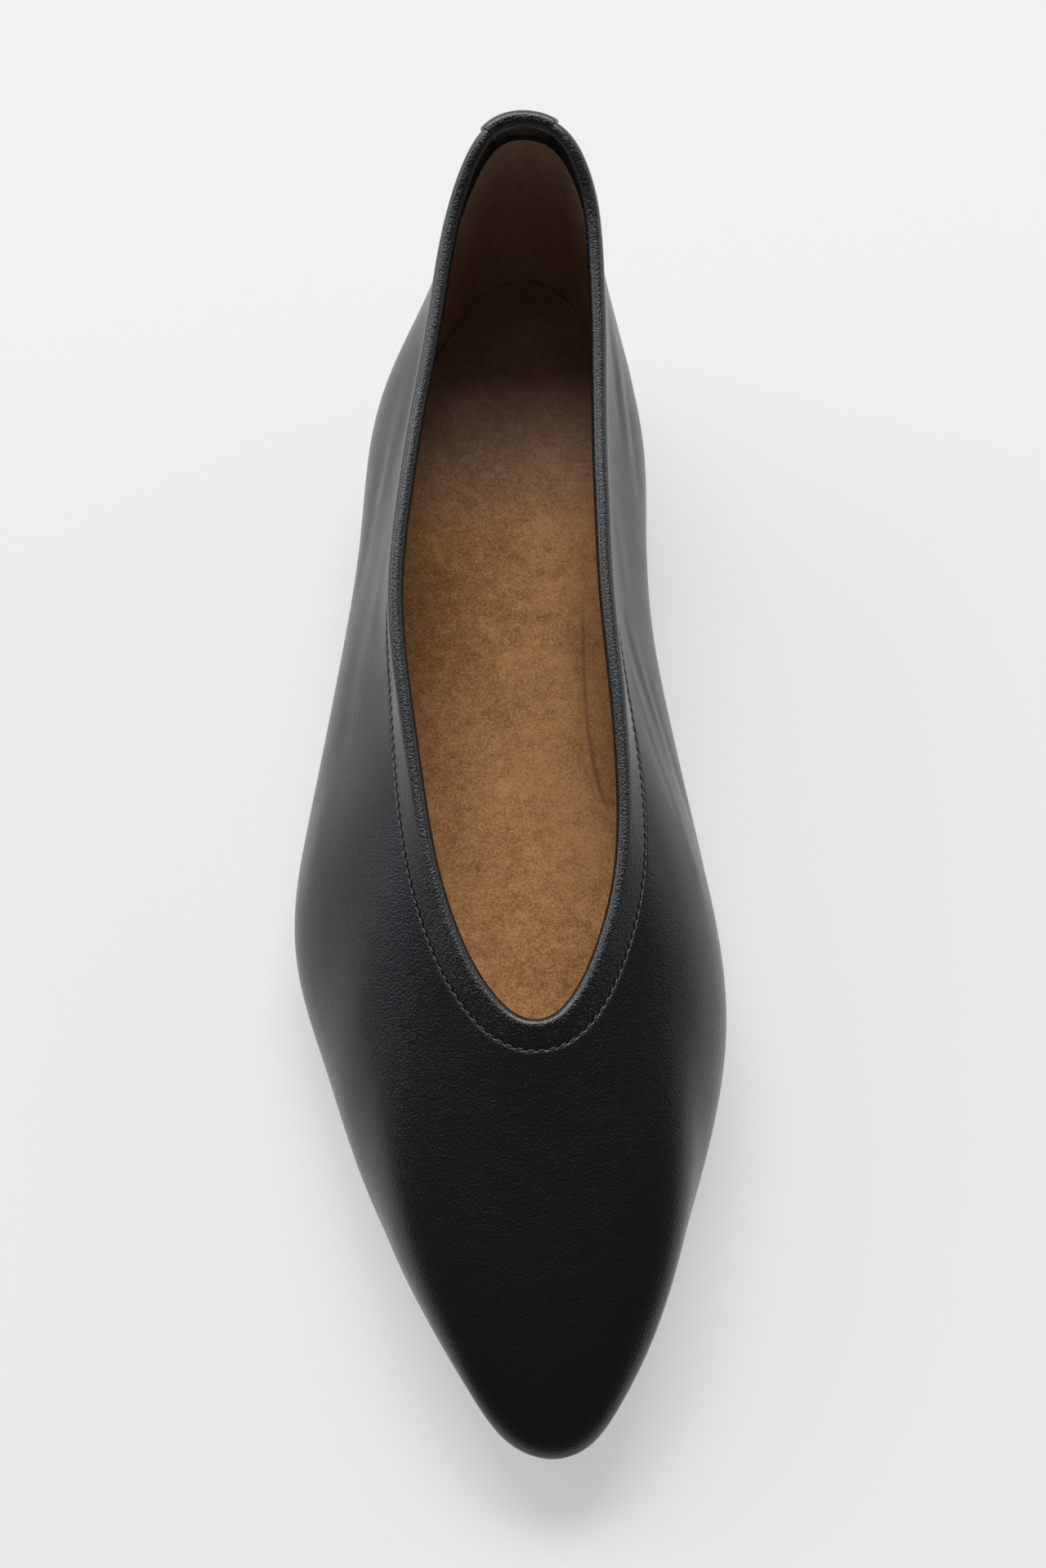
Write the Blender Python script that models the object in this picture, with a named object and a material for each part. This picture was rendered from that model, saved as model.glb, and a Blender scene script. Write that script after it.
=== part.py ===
"""Pointed toe flat shoe for the right foot, as an assembly of separate solids.

The toe points along -Y, the wearer's inner (medial) side is +X, and the shoe stands on z = 0.
The origin is on the floor under the middle of the heel. All sizes are in metres.

The shape of the last is held by one table of ribs. A rib is a curve on the outside of the upper
that runs from the feather line, where upper and sole meet, up to the topline of the opening. The
ribs are joined by smooth closed curves round the shoe, and every piece is cut from that surface.
"""

import math
from collections import namedtuple

import bmesh
import bpy
import numpy as np

MM = 0.001

# Sole and last
SOLE_LENGTH = 252.4 * MM
SEAT_WIDTH = 48.0 * MM
WAIST_WIDTH = 48.4 * MM
TREAD_WIDTH = 73.0 * MM
TOE_WIDTH = 26.4 * MM
ORIGIN_FROM_BACK = 27.0 * MM
HEEL_HEIGHT = 10.0 * MM
SOLE_THICKNESS = 3.0 * MM
TOE_SPRING = 7.0 * MM

# Opening
OPENING_LENGTH = 186.2 * MM
OPENING_WIDTH = 42.6 * MM
COLLAR_LEAN = 3.3 * MM
BACK_HEIGHT = 64.3 * MM
THROAT_HEIGHT = 38.0 * MM

# Walls and edges
UPPER_WALL = 1.8 * MM
BELLY = 10.0 * MM
VAMP_REACH = 45.0 * MM
CLEARANCE = 0.3 * MM
BINDING_BAND = 2.8 * MM
BINDING_SKIN = 0.6 * MM
BEAD_RADIUS = 1.6 * MM
SOLE_INSET = 0.4 * MM
SOLE_EDGE_BEVEL = 1.0 * MM
INSOLE_THICKNESS = 2.2 * MM
INSOLE_LIP = 0.7 * MM
INSOLE_BOWL = 12.0 * MM
TAB_WIDTH = 15.6 * MM
TAB_SHIFT = 1.1 * MM
TAB_DROP = 17.0 * MM
TAB_TURN_IN = 0.6 * MM
TAB_SKIN = 0.9 * MM
TAB_CORNER = 3.0 * MM
FACING_WIDTH = 52.0 * MM
FACING_DEPTH = 2.2 * MM
FACING_END_DEPTH = 1.0 * MM
FACING_SKIN = 0.8 * MM
HEEL_BEVEL = 0.8 * MM
HEEL_INSET = 1.4 * MM
HEEL_TAPER = 0.6 * MM
BREAST_CURVE = 2.5 * MM

# Section of the outsole's edge, from the ground up: bevels inwards, share of the sole's thickness
SOLE_EDGE_SECTION = ((2.0, 0.0), (1.0, 0.1), (0.0, 0.45), (0.0, 0.9), (0.3, 1.0))

# Section of the bead: how much of its radius stands over the upper's edge, and the corners' angles
BEAD_RISE = 0.8
BEAD_ANGLES = (-30, 5, 40, 75, 110, 145, 180, 215)
TAB_ANGLES = (140, 110, 80, 50, 20, -10)
TAB_INNER_ANGLE = 175
TAB_INNER_EASE = 1.12

# Columns across the tab and the facing, and points across the heel's breast
TAB_COLUMNS = 9
FACING_COLUMNS = 17
BREAST_POINTS = 8

# Where the sole bends, as shares of its length from the back
HEEL_BREAST = 0.222
ARCH_START = 0.242
TREAD_START = 0.562
TREAD_END = 0.742

# One row for each rib, from the back of the heel to the toe. Ribs between the two ends come in
# pairs, with "in" on the medial side and "out" on the lateral side.
#   run                 place along the sole, share of SOLE_LENGTH
#   of                  the width that seat_in and seat_out are shares of
#   seat_in, seat_out   feather line, distance from the long axis
#   belly_in, belly_out how far the wall swells over the sole, share of BELLY
#   rise                height of that swell, share of the wall's height
#   top_run             place of the topline, share of OPENING_LENGTH
#   top_in, top_out     topline, distance from the long axis, share of OPENING_WIDTH
#   top_rise            height of the topline, from 0 at the throat to 1 at the back
#   reach, drop         slope of the wall under the topline, shares of VAMP_REACH and wall height
Rib = namedtuple(
    "Rib",
    "run of seat_in seat_out belly_in belly_out rise top_run top_in top_out top_rise reach drop",
)
SEAT, WAIST, TREAD, TOE = SEAT_WIDTH, WAIST_WIDTH, TREAD_WIDTH, TOE_WIDTH
RIBS = [
    Rib(0.0000, SEAT, 0.000, 0.000, 0.48, 0.48, 0.26, 0.0000, 0.000, 0.000, 1.000, -0.05, 0.36),
    Rib(0.0174, SEAT, 0.190, 0.196, 0.38, 0.38, 0.26, 0.0097, 0.149, 0.139, 0.985, -0.05, 0.36),
    Rib(0.0435, SEAT, 0.282, 0.300, 0.20, 0.24, 0.26, 0.0392, 0.259, 0.242, 0.915, -0.05, 0.36),
    Rib(0.0870, SEAT, 0.360, 0.416, 0.38, 0.46, 0.26, 0.0875, 0.336, 0.332, 0.760, -0.01, 0.36),
    Rib(0.1442, SEAT, 0.410, 0.530, 0.76, 1.00, 0.27, 0.1520, 0.363, 0.393, 0.640, 0.01, 0.38),
    Rib(0.2116, SEAT, 0.423, 0.585, 1.20, 1.14, 0.28, 0.2325, 0.373, 0.442, 0.540, 0.00, 0.42),
    Rib(0.2887, WAIST, 0.370, 0.600, 1.62, 1.15, 0.29, 0.3265, 0.373, 0.508, 0.455, 0.00, 0.42),
    Rib(0.3716, WAIST, 0.380, 0.645, 1.72, 1.22, 0.30, 0.4286, 0.383, 0.566, 0.385, 0.01, 0.40),
    Rib(0.4546, TREAD, 0.322, 0.480, 1.52, 1.20, 0.32, 0.5330, 0.405, 0.599, 0.315, 0.04, 0.36),
    Rib(0.5373, TREAD, 0.403, 0.532, 1.20, 1.24, 0.34, 0.6353, 0.451, 0.567, 0.250, 0.10, 0.32),
    Rib(0.6206, TREAD, 0.433, 0.524, 1.30, 1.52, 0.34, 0.7266, 0.483, 0.519, 0.190, 0.21, 0.27),
    Rib(0.7017, TREAD, 0.435, 0.445, 1.42, 1.44, 0.33, 0.8045, 0.483, 0.466, 0.138, 0.31, 0.24),
    Rib(0.7785, TREAD, 0.385, 0.345, 1.40, 1.48, 0.32, 0.8663, 0.444, 0.398, 0.094, 0.42, 0.24),
    Rib(0.8500, TREAD, 0.325, 0.255, 1.08, 1.20, 0.31, 0.9173, 0.380, 0.315, 0.059, 0.56, 0.29),
    Rib(0.9107, TREAD, 0.263, 0.160, 0.86, 0.98, 0.31, 0.9549, 0.308, 0.224, 0.031, 0.74, 0.36),
    Rib(0.9623, TOE, 0.540, 0.180, 0.84, 0.84, 0.30, 0.9817, 0.226, 0.128, 0.012, 0.91, 0.43),
    Rib(0.9905, TOE, 0.430, 0.048, 0.80, 0.80, 0.29, 0.9962, 0.138, 0.034, 0.003, 1.01, 0.48),
    Rib(0.9990, TOE, 0.205, -0.205, 1.15, 1.15, 0.24, 1.0000, 0.050, -0.050, 0.000, 1.03, 0.50),
]
LAST_RIB = len(RIBS) - 1
RIBS_ROUND = 2 * LAST_RIB
COLUMNS_PER_RIB = 2
COLUMNS = RIBS_ROUND * COLUMNS_PER_RIB

# Rings of the upper between the feather line (0) and the lower edge of the binding (1)
WALL_RINGS = (0.0, 0.05, 0.11, 0.18, 0.27, 0.37, 0.48, 0.59, 0.70, 0.81, 0.91, 1.0)
RIB_SAMPLES = 160
SQUARE_OFF_SHARE = 0.12


def around(inner, outer):
    """One value for each rib round the shoe: back, medial side, toe, lateral side."""
    return [*inner, *outer[LAST_RIB - 1 : 0 : -1]]


def closed_curve(values, places):
    """Values and slopes at places of the smooth closed curve that passes through values."""
    count = len(values)
    waves = np.fft.fftfreq(count) * 2 * math.pi
    controls = np.real(np.fft.ifft(np.fft.fft(values) * 3 / (2 + np.cos(waves))))
    index = np.floor(places).astype(int)
    t = places - index
    near = [controls[(index + k) % count] for k in (-1, 0, 1, 2)]
    weights = [
        (1 - t) ** 3,
        3 * t**3 - 6 * t**2 + 4,
        -3 * t**3 + 3 * t**2 + 3 * t + 1,
        t**3,
    ]
    slopes = [-3 * (1 - t) ** 2, 9 * t**2 - 12 * t, -9 * t**2 + 6 * t + 3, 3 * t**2]
    value = sum(w * c for w, c in zip(weights, near)) / 6
    slope = sum(s * c for s, c in zip(slopes, near)) / 6
    return value, slope


def plan_outward(slope_x, slope_y):
    """Level unit vectors that point out of a loop which runs clockwise seen from above."""
    length = np.hypot(slope_x, slope_y)
    return np.stack([-slope_y / length, slope_x / length, np.zeros_like(length)], axis=-1)


def unit(vectors):
    return vectors / np.linalg.norm(vectors, axis=-1, keepdims=True)


def blend(share):
    """0 to 1 with level ends."""
    share = np.clip(share, 0, 1)
    return share * share * (3 - 2 * share)


def sole_bottom(y):
    """Height of the underside of the outsole: heel seat, arch, flat tread and toe spring."""
    run = (ORIGIN_FROM_BACK - y) / SOLE_LENGTH
    arch = HEEL_HEIGHT * (1 - blend((run - ARCH_START) / (TREAD_START - ARCH_START)))
    spring = TOE_SPRING * (np.clip(run - TREAD_END, 0, None) / (1 - TREAD_END)) ** 2
    return arch + spring


def seat_height(y):
    """Height of the feather line, just clear of the outsole's top face."""
    return sole_bottom(y) + SOLE_THICKNESS + CLEARANCE


class Feather:
    """The feather line: the outline of the last where the upper meets the sole."""

    def __init__(self, places):
        inner = [r.seat_in * r.of for r in RIBS]
        outer = [-r.seat_out * r.of for r in RIBS]
        runs = [ORIGIN_FROM_BACK - r.run * SOLE_LENGTH for r in RIBS]
        self.x, slope_x = closed_curve(around(inner, outer), places)
        self.y, slope_y = closed_curve(around(runs, runs), places)
        self.outward = plan_outward(slope_x, slope_y)

    def ring(self, offset, height):
        """The outline moved outwards by offset, with each point's height given by height(y)."""
        x = self.x + offset * self.outward[:, 0]
        y = self.y + offset * self.outward[:, 1]
        return np.stack([x, y, height(y)], axis=-1)


class UpperSurface:
    """The outside of the upper, as a rib at each of the given places round the shoe."""

    def __init__(self, places, all_round):
        feather = Feather(places)
        foot = feather.ring(0.0, seat_height)
        top_start = ORIGIN_FROM_BACK + COLLAR_LEAN
        inner = [r.top_in * OPENING_WIDTH for r in RIBS]
        outer = [-r.top_out * OPENING_WIDTH for r in RIBS]
        top_x, slope_x = closed_curve(around(inner, outer), places)
        top_runs = [top_start - r.top_run * OPENING_LENGTH for r in RIBS]
        top_y, slope_y = closed_curve(around(top_runs, top_runs), places)
        heights = [THROAT_HEIGHT + r.top_rise * (BACK_HEIGHT - THROAT_HEIGHT) for r in RIBS]
        top_z, _ = closed_curve(around(heights, heights), places)
        top = np.stack([top_x, top_y, top_z], axis=-1)
        top_outward = plan_outward(slope_x, slope_y)

        def column(inner, outer, size):
            return closed_curve(around(inner, outer), places)[0][:, None] * size

        up = np.array([0.0, 0.0, 1.0])
        wall_height = (top_z - foot[:, 2])[:, None]
        belly = column([r.belly_in for r in RIBS], [r.belly_out for r in RIBS], BELLY)
        rise = column([r.rise for r in RIBS], [r.rise for r in RIBS], wall_height)
        reach = column([r.reach for r in RIBS], [r.reach for r in RIBS], VAMP_REACH)
        drop = column([r.drop for r in RIBS], [r.drop for r in RIBS], wall_height)
        low_handle = foot + belly * feather.outward + rise * up
        high_handle = top + reach * top_outward - drop * up

        t = np.linspace(0, 1, RIB_SAMPLES)[:, None, None]
        self.points = (
            (1 - t) ** 3 * foot
            + 3 * t * (1 - t) ** 2 * low_handle
            + 3 * t**2 * (1 - t) * high_handle
            + t**3 * top
        )
        along = np.gradient(self.points, axis=0)
        if all_round:
            round_shoe = np.roll(self.points, -1, axis=1) - np.roll(self.points, 1, axis=1)
        else:
            round_shoe = np.gradient(self.points, axis=1)
        true_normal = unit(np.cross(along, round_shoe))
        square_off = blend(t / SQUARE_OFF_SHARE)
        self.normals = unit((1 - square_off) * feather.outward + square_off * true_normal)
        self.rise_direction = unit(top - self.points[-2])
        steps = np.linalg.norm(np.diff(self.points, axis=0), axis=-1)
        self.lengths = np.concatenate([np.zeros((1, steps.shape[1])), np.cumsum(steps, axis=0)])

    def at_depth(self, depth, offset=0.0):
        """Points at a depth below the topline, measured on the wall, and an offset outwards.

        A depth below zero lies beyond the topline, straight on from the wall.
        """
        total = self.lengths[-1]
        depth = np.broadcast_to(depth, total.shape)
        wanted = np.clip(total - depth, 0, total)
        place = np.empty((len(total), 3))
        normal = np.empty((len(total), 3))
        for c in range(len(total)):
            for axis in range(3):
                place[c, axis] = np.interp(wanted[c], self.lengths[:, c], self.points[:, c, axis])
                normal[c, axis] = np.interp(wanted[c], self.lengths[:, c], self.normals[:, c, axis])
        beyond = np.clip(-depth, 0, None)[:, None]
        return place + beyond * self.rise_direction + offset * unit(normal)

    def at_share(self, share, offset=0.0):
        """Points at a share of the way from the feather line to the lower edge of the binding."""
        below_binding = self.lengths[-1] - BINDING_BAND
        return self.at_depth(BINDING_BAND + below_binding * (1 - share), offset)


def all_places():
    return np.arange(COLUMNS) / COLUMNS_PER_RIB


def places_across_back(surface_places, top_points, width, count, shift=0.0):
    """Places round the shoe's back that span a width along the topline.

    They are centred a distance shift to the lateral side of the middle of the back.
    """
    half = surface_places <= LAST_RIB / 2
    steps = np.linalg.norm(np.diff(top_points[half], axis=0), axis=-1)
    arc = np.concatenate([[0.0], np.cumsum(steps)])
    wanted = np.linspace(-width / 2, width / 2, count) - shift
    return np.sign(wanted) * np.interp(np.abs(wanted), arc, surface_places[half])


def new_object(name, bm, material):
    bmesh.ops.recalc_face_normals(bm, faces=bm.faces)
    mesh = bpy.data.meshes.new(name)
    bm.to_mesh(mesh)
    bm.free()
    mesh.materials.append(material)
    mesh.shade_smooth()
    mesh.set_sharp_from_angle(angle=math.radians(40))
    obj = bpy.data.objects.new(name, mesh)
    bpy.context.scene.collection.objects.link(obj)
    return obj


def add_rings(bm, rings):
    return [[bm.verts.new(point) for point in ring] for ring in rings]


def skin_between(bm, first, second, closed=True):
    """Quads between two rings of vertices with as many points each."""
    count = len(first)
    for i in range(count if closed else count - 1):
        j = (i + 1) % count
        bm.faces.new((first[i], first[j], second[j], second[i]))


def close_across(bm, ring):
    """Closes a ring that runs round the shoe with rungs from its medial to its lateral side."""
    count = len(ring)
    middle = count // 2
    bm.faces.new((ring[0], ring[1], ring[-1]))
    for i in range(1, middle - 1):
        bm.faces.new((ring[i], ring[i + 1], ring[count - i - 1], ring[count - i]))
    bm.faces.new((ring[middle - 1], ring[middle], ring[middle + 1]))


def make_material(name, colour, roughness):
    material = bpy.data.materials.new(name)
    material.use_nodes = True
    shader = material.node_tree.nodes["Principled BSDF"]
    shader.inputs["Base Color"].default_value = (*colour, 1.0)
    shader.inputs["Roughness"].default_value = roughness
    shader.inputs["Metallic"].default_value = 0.0
    material.diffuse_color = (*colour, 1.0)
    return material


def make_upper(surface, material):
    """One hollow shell, open at the collar and underneath, thinned where the binding lies on it."""
    recess = BINDING_SKIN + CLEARANCE
    outside = [surface.at_share(s) for s in WALL_RINGS]
    thinned = [
        surface.at_depth(BINDING_BAND, -recess),
        surface.at_depth(0.0, -recess),
    ]
    inside = [surface.at_depth(0.0, -UPPER_WALL)]
    inside += [surface.at_share(s, -UPPER_WALL) for s in reversed(WALL_RINGS)]
    bm = bmesh.new()
    rings = add_rings(bm, outside + thinned + inside)
    for first, second in zip(rings, rings[1:] + rings[:1]):
        skin_between(bm, first, second)
    return new_object("upper", bm, material)


def bead_centre():
    """Offset and height of the middle of the binding's rolled bead, over the upper's edge."""
    recess = BINDING_SKIN + CLEARANCE
    middle_of_edge = -(recess + UPPER_WALL) / 2
    return middle_of_edge + CLEARANCE, CLEARANCE + BEAD_RADIUS * BEAD_RISE


def bead_point(angle, radius):
    offset, height = bead_centre()
    turn = math.radians(angle)
    return offset + radius * math.cos(turn), height + radius * math.sin(turn)


def make_binding(surface, material):
    """The rolled edge round the opening: a bead on the upper's edge with a band down its outside."""
    band_end = -(BINDING_BAND - CLEARANCE)
    section = [(0.0, band_end), (0.0, band_end / 2), (-BINDING_SKIN / 4, 0.0)]
    section += [bead_point(angle, BEAD_RADIUS) for angle in BEAD_ANGLES]
    section += [
        (-UPPER_WALL, CLEARANCE),
        (-BINDING_SKIN, CLEARANCE),
        (-BINDING_SKIN, band_end),
    ]
    bm = bmesh.new()
    rings = add_rings(bm, [surface.at_depth(-height, offset) for offset, height in section])
    for first, second in zip(rings, rings[1:] + rings[:1]):
        skin_between(bm, first, second)
    return new_object("topline_binding", bm, material)


def offset_path(path, distance):
    """A line of (offset, height) points moved to its left by a distance."""
    points = np.array(path)
    tangents = unit(np.gradient(points, axis=0))
    return points + distance * np.stack([-tangents[:, 1], tangents[:, 0]], axis=-1)


def add_strip(bm, columns):
    """A solid strip from a closed section in each column, with its two end faces."""
    rings = add_rings(bm, columns)
    for first, second in zip(rings, rings[1:]):
        skin_between(bm, first, second)
    bm.faces.new(rings[0])
    bm.faces.new(rings[-1])


def column_points(surface, section_of):
    """For each column of a surface, the points of the section that section_of(column) gives."""
    sections = [section_of(c) for c in range(surface.points.shape[1])]
    count = len(sections[0])
    rows = []
    for k in range(count):
        depths = np.array([-section[k][1] for section in sections])
        offsets = np.array([section[k][0] for section in sections])[:, None]
        base = surface.at_depth(depths)
        rows.append(base + (surface.at_depth(depths, 1.0) - base) * offsets)
    return np.swapaxes(np.array(rows), 0, 1)


def make_tab(places, material):
    """The strap folded over the binding at the back of the collar."""
    surface = UpperSurface(places, all_round=False)
    sides = np.linspace(-1, 1, len(places))
    around_bead = BEAD_RADIUS + CLEARANCE
    inner_face = -(UPPER_WALL + FACING_SKIN + 2 * CLEARANCE)

    def section_of(column):
        corner = TAB_CORNER * (1 - math.sqrt(max(0.0, 1 - sides[column] ** 2)))
        path = [
            (inner_face, -TAB_TURN_IN),
            (inner_face, -TAB_TURN_IN / 3),
            bead_point(TAB_INNER_ANGLE, around_bead * TAB_INNER_EASE),
            *[bead_point(angle, around_bead) for angle in TAB_ANGLES],
            (CLEARANCE, -BINDING_BAND),
            (CLEARANCE, -(BINDING_BAND + TAB_DROP - TAB_CORNER) / 2),
            (CLEARANCE, corner - TAB_DROP),
        ]
        return [*path, *offset_path(path, TAB_SKIN)[::-1]]

    bm = bmesh.new()
    add_strip(bm, column_points(surface, section_of))
    return new_object("heel_tab", bm, material)


def make_facing(places, material):
    """The crescent of leather inside the back of the collar."""
    surface = UpperSurface(places, all_round=False)
    sides = np.linspace(-1, 1, len(places))
    near = -(UPPER_WALL + CLEARANCE)
    far = near - FACING_SKIN

    def section_of(column):
        depth = FACING_END_DEPTH + (FACING_DEPTH - FACING_END_DEPTH) * (1 - sides[column] ** 2)
        return [
            (near, -CLEARANCE),
            (near, -(CLEARANCE + depth) / 2),
            (near, -depth),
            (far, -depth),
            (far, -(CLEARANCE + depth) / 2),
            (far, -CLEARANCE),
        ]

    bm = bmesh.new()
    add_strip(bm, column_points(surface, section_of))
    return new_object("heel_facing", bm, material)


def make_outsole(feather, material):
    """The thin sole with its bevelled edge, arch, flat tread and toe spring."""

    def height(share):
        return lambda y: sole_bottom(y) + share * SOLE_THICKNESS

    bm = bmesh.new()
    rings = add_rings(
        bm,
        [
            feather.ring(-SOLE_INSET - bevels * SOLE_EDGE_BEVEL, height(share))
            for bevels, share in SOLE_EDGE_SECTION
        ],
    )
    for first, second in zip(rings, rings[1:]):
        skin_between(bm, first, second)
    close_across(bm, rings[0])
    close_across(bm, rings[-1])
    return new_object("outsole", bm, material)


def make_insole(feather, material):
    """The footbed inside the upper, slightly cupped at its edge."""
    edge = -(UPPER_WALL + CLEARANCE + CLEARANCE / 2)

    def height(rise):
        return lambda y: seat_height(y) + rise

    rings = [
        feather.ring(edge, height(0.0)),
        feather.ring(edge, height(INSOLE_THICKNESS)),
        feather.ring(edge - INSOLE_LIP, height(INSOLE_THICKNESS + INSOLE_LIP)),
        feather.ring(edge - INSOLE_BOWL / 4, height(INSOLE_THICKNESS + INSOLE_LIP / 2)),
        feather.ring(edge - INSOLE_BOWL / 2, height(INSOLE_THICKNESS)),
    ]
    bm = bmesh.new()
    rings = add_rings(bm, rings)
    for first, second in zip(rings, rings[1:]):
        skin_between(bm, first, second)
    close_across(bm, rings[0])
    close_across(bm, rings[-1])
    return new_object("insole", bm, material)


def make_heel(feather, places, material):
    """The low heel block under the back of the outsole, with a hollow breast line."""
    breast_y = ORIGIN_FROM_BACK - HEEL_BREAST * SOLE_LENGTH
    rear = Feather(rear_places(feather, places, breast_y))

    def ring(offset, height):
        outline = rear.ring(offset, lambda y: np.full_like(y, height))
        start, end = outline[-1], outline[0]
        across = np.linspace(0, 1, BREAST_POINTS)[1:-1, None]
        breast = start + (end - start) * across
        breast[:, 1] += BREAST_CURVE * 4 * (across * (1 - across))[:, 0]
        return np.concatenate([outline, breast])

    rings = [
        ring(-HEEL_INSET - HEEL_TAPER - HEEL_BEVEL, 0.0),
        ring(-HEEL_INSET - HEEL_TAPER, HEEL_BEVEL),
        ring(-HEEL_INSET, HEEL_HEIGHT - CLEARANCE),
    ]
    bm = bmesh.new()
    rings = add_rings(bm, rings)
    for first, second in zip(rings, rings[1:]):
        skin_between(bm, first, second)
    bm.faces.new(rings[0])
    bm.faces.new(rings[-1])
    return new_object("heel", bm, material)


def rear_places(feather, places, breast_y):
    """Places round the back of the sole, from the lateral to the medial end of the breast line."""
    half = places <= LAST_RIB
    reach = np.interp(-breast_y, -feather.y[half], places[half])
    count = 2 * int(math.ceil(reach * COLUMNS_PER_RIB)) + 1
    return np.linspace(-reach, reach, count)


def clear_scene():
    for obj in list(bpy.data.objects):
        bpy.data.objects.remove(obj, do_unlink=True)


def main():
    clear_scene()
    black_leather = make_material("black_leather", (0.012, 0.012, 0.013), 0.42)
    tan_suede = make_material("tan_suede", (0.29, 0.155, 0.065), 0.92)
    black_rubber = make_material("black_rubber", (0.018, 0.018, 0.019), 0.6)

    places = all_places()
    feather = Feather(places)
    surface = UpperSurface(places, all_round=True)
    top = surface.at_depth(0.0)
    tab_places = places_across_back(places, top, TAB_WIDTH, TAB_COLUMNS, TAB_SHIFT)
    facing_places = places_across_back(places, top, FACING_WIDTH, FACING_COLUMNS)

    make_upper(surface, black_leather)
    make_binding(surface, black_leather)
    make_tab(tab_places, black_leather)
    make_facing(facing_places, black_leather)
    make_insole(feather, tan_suede)
    make_outsole(feather, black_rubber)
    make_heel(feather, places, black_rubber)


main()
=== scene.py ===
"""Looks of a black leather pointed toe flat with a suede footbed, for the right foot.

The toe points along -Y, the wearer's inner (medial) side is +X and the shoe stands on z = 0.
The wall of the last is one table of ribs, joined by smooth closed curves round the shoe. Every
leather piece is a grid laid on that wall, by the depth below the topline and the offset outwards.
"""

import math
from collections import namedtuple

import bmesh
import bpy
import numpy as np
from mathutils import Matrix, Vector, noise


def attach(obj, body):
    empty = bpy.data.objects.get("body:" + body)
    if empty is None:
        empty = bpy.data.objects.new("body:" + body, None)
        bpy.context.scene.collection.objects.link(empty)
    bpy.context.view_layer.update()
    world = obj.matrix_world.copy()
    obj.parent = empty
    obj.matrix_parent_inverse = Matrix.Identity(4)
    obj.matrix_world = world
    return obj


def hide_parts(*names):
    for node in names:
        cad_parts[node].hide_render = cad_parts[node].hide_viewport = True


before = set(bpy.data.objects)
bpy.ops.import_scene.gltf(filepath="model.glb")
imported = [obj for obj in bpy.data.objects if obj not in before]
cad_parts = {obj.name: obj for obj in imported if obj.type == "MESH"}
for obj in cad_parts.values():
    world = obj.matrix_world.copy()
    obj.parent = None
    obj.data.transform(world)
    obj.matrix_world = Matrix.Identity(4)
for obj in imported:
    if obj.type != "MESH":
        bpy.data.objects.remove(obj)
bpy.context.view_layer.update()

MM = 0.001

# Camera: its place, what it looks at, and a lens that gives the photograph's angle of view
CAMERA_PLACE = (0.0, -0.4394, 0.6684)
CAMERA_AIM = (0.0, -0.0840, 0.0)
CAMERA_LENS = 87.2
CAMERA_LONG_SIDE = 36.0

# Sole and last
SOLE_LENGTH = 252.4 * MM
SEAT_WIDTH = 48.0 * MM
WAIST_WIDTH = 48.4 * MM
TREAD_WIDTH = 73.0 * MM
TOE_WIDTH = 26.4 * MM
ORIGIN_FROM_BACK = 27.0 * MM
HEEL_HEIGHT = 10.0 * MM
SOLE_THICKNESS = 3.0 * MM
TOE_SPRING = 7.0 * MM
HEEL_BREAST = 0.222
ARCH_START = 0.242
TREAD_START = 0.562
TREAD_END = 0.742

# Opening
OPENING_LENGTH = 186.2 * MM
OPENING_WIDTH = 42.6 * MM
COLLAR_LEAN = 3.3 * MM
BACK_HEIGHT = 64.3 * MM
THROAT_HEIGHT = 38.0 * MM

# Walls and edges
CLEARANCE = 0.3 * MM
LEATHER = 1.1 * MM
LINING = 0.6 * MM
UPPER_WALL = 1.8 * MM
BELLY = 10.0 * MM
VAMP_REACH = 45.0 * MM
BINDING_BAND = 2.8 * MM
BINDING_SKIN = 0.6 * MM
BEAD_RADIUS = 1.6 * MM
SOLE_INSET = 0.4 * MM
SOLE_EDGE_ROUND = 0.7 * MM
INSOLE_THICKNESS = 2.2 * MM
INSOLE_LIP = 0.7 * MM
INSOLE_BOWL = 12.0 * MM
INSOLE_FILLET = 1.6 * MM
RIM_IN_LINING = 0.8
TAB_WIDTH = 15.6 * MM
TAB_SHIFT = 1.1 * MM
TAB_DROP = 17.0 * MM
TAB_TURN_IN = 0.3 * MM
TAB_SINK = 0.62 * MM
TAB_THICKNESS = 0.7 * MM
TAB_CORNER = 3.0 * MM
FACING_WIDTH = 52.0 * MM
FACING_DEPTH = 2.2 * MM
FACING_END_DEPTH = 0.4 * MM
FACING_SKIN = 0.5 * MM
FACING_TOP = 0.9 * MM
HEEL_INSET = 1.4 * MM
HEEL_TAPER = 0.6 * MM
HEEL_BEVEL = 0.8 * MM
TOP_LIFT = 4.0 * MM
BREAST_CURVE = 2.5 * MM
STITCH_PITCH = 2.0 * MM
STITCH_LENGTH = 1.5 * MM
STITCH_RADIUS = 0.15 * MM

# The upper's edge under the binding, and how its relief ends at the seam and the feather line
EDGE_OUTER = 0.9 * MM
EDGE_INNER = 1.7 * MM
SEAM_TURN_IN = 0.14 * MM
SEAM_TURN_WIDTH = 0.25 * MM
RELIEF_MARGIN = 6 * MM
LINING_TOP = 0.6 * MM

# The binding: how far the bead stands over the edge, the band's swell, and what the thread pulls in
BEAD_RISE = 0.8
BAND_SWELL = 0.33 * MM
STITCH_PULL = 0.05 * MM
PULL_ABOVE_SEAM = 0.6 * MM
PULL_WIDTH = 0.7 * MM
BEAD_SOFT_RELIEF = 0.04 * MM
BEAD_SOFT_SCALE = 0.009

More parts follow.
